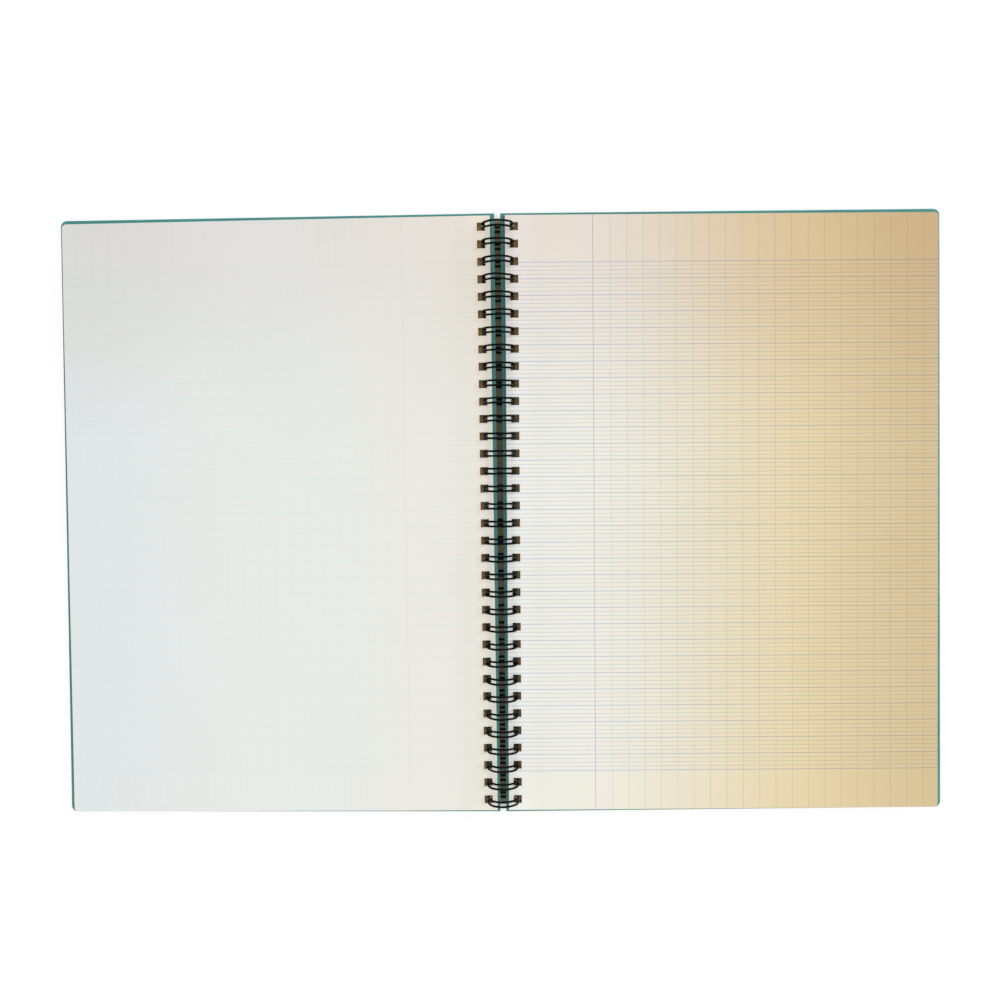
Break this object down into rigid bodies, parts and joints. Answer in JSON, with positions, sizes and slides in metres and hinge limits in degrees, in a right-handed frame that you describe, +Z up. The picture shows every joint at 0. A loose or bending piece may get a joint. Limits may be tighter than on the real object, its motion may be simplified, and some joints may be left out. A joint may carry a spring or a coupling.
{
  "type": "hardcover notebook",
  "caption": "Hardcover notebook lying open and flat: ruled sheets and stiff green covers punched with a row of holes and held by a black twin-wire binding.",
  "frame": {"origin": "on the surface the notebook lies on, under the centre line of the binding's loops, half way along the binding", "axes": "+Z up, +Y along the binding towards the top of the pages, +X towards the free edge of the right-hand sheets"},
  "size_m": [0.4304, 0.293, 0.0156],
  "materials": {
    "cover_board": "satin laminated paper over board, blue-green",
    "ruled_paper": "uncoated ivory writing paper with printed ruling",
    "enamelled_wire": "black nylon-coated steel, semi-gloss"
  },
  "bodies": {
    "binding": {"binding_wire": "enamelled_wire"},
    "front_cover": {"front_cover": "cover_board"},
    "turned_sheets": {"turned_sheets": "ruled_paper"},
    "back_cover": {"back_cover": "cover_board"},
    "remaining_sheets": {"remaining_sheets": "ruled_paper"}
  },
  "joints": [
    {"name": "front_cover_hinge", "type": "hinge", "parent": "binding", "child": "front_cover", "pos_m": [0, 0, 0.0078], "axis": [0, 1, 0], "range_deg": [0, 181.7]},
    {"name": "turned_sheets_hinge", "type": "hinge", "parent": "front_cover", "child": "turned_sheets", "pos_m": [0, 0, 0.0078], "axis": [0, 1, 0], "range_deg": [0, 178.2]},
    {"name": "back_cover_hinge", "type": "hinge", "parent": "binding", "child": "back_cover", "pos_m": [0, 0, 0.0078], "axis": [0, -1, 0], "range_deg": [0, 181.7]},
    {"name": "remaining_sheets_hinge", "type": "hinge", "parent": "back_cover", "child": "remaining_sheets", "pos_m": [0, 0, 0.0078], "axis": [0, -1, 0], "range_deg": [0, 178.2]}
  ]
}
